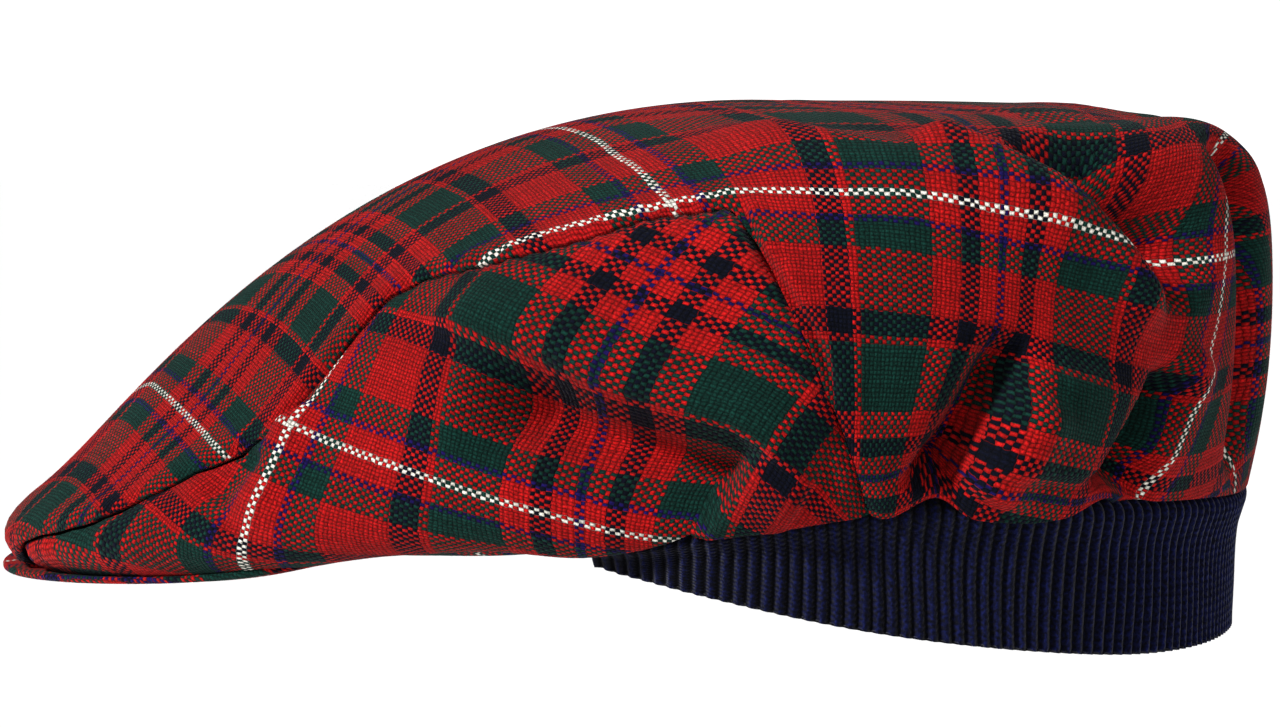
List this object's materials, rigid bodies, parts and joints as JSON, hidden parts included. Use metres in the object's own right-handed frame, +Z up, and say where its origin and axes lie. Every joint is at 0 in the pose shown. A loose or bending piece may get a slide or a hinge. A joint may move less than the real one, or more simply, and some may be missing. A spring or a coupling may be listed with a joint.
{
  "type": "flat cap",
  "caption": "Flat cap in checked wool with a cloth-covered peak and a rib-knitted band that hangs below the crown round the back and sides.",
  "frame": {"origin": "middle of the head opening, level with the temples, where the head holds the cap", "axes": "+Z up, -Y towards the peak, +X the wearer's left"},
  "size_m": [0.1944, 0.2722, 0.1097],
  "materials": {
    "wool": "plain-weave wool",
    "peak_wool": "wool over a stiff peak",
    "navy_knit": "rib knit"
  },
  "bodies": {
    "root": {"top_panel": "wool", "side_panel_left": "wool", "side_panel_right": "wool", "peak": "peak_wool", "rib_band": "navy_knit"}
  },
  "joints": []
}
